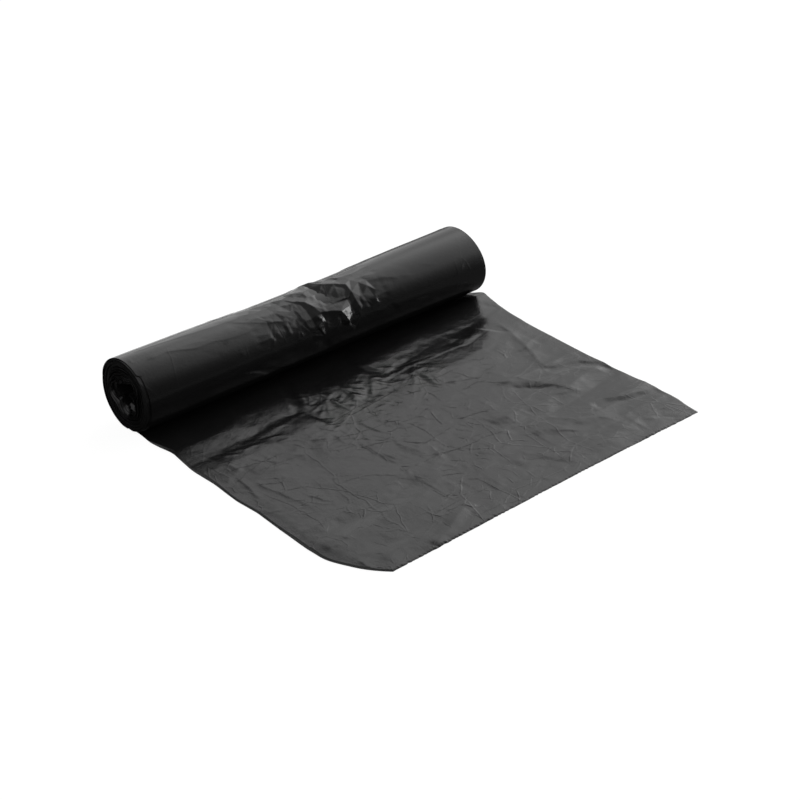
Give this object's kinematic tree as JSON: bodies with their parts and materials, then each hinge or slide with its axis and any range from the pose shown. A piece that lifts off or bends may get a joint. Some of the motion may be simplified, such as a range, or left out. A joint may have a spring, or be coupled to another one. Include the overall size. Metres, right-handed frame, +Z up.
{
  "type": "bin bag roll",
  "caption": "Coreless roll of black plastic bin bags lying on its side, with the first gusseted bag pulled out flat to its torn perforated edge.",
  "frame": {"origin": "on the floor, in the middle of the flat spot under the roll, halfway along it", "axes": "+X along the roll, -Y the way the bag is pulled out, +Z up"},
  "size_m": [0.4657, 0.4062, 0.0802],
  "materials": {
    "film": "semi-gloss black polythene film"
  },
  "bodies": {
    "root": {"bag_roll": "film"}
  },
  "joints": []
}
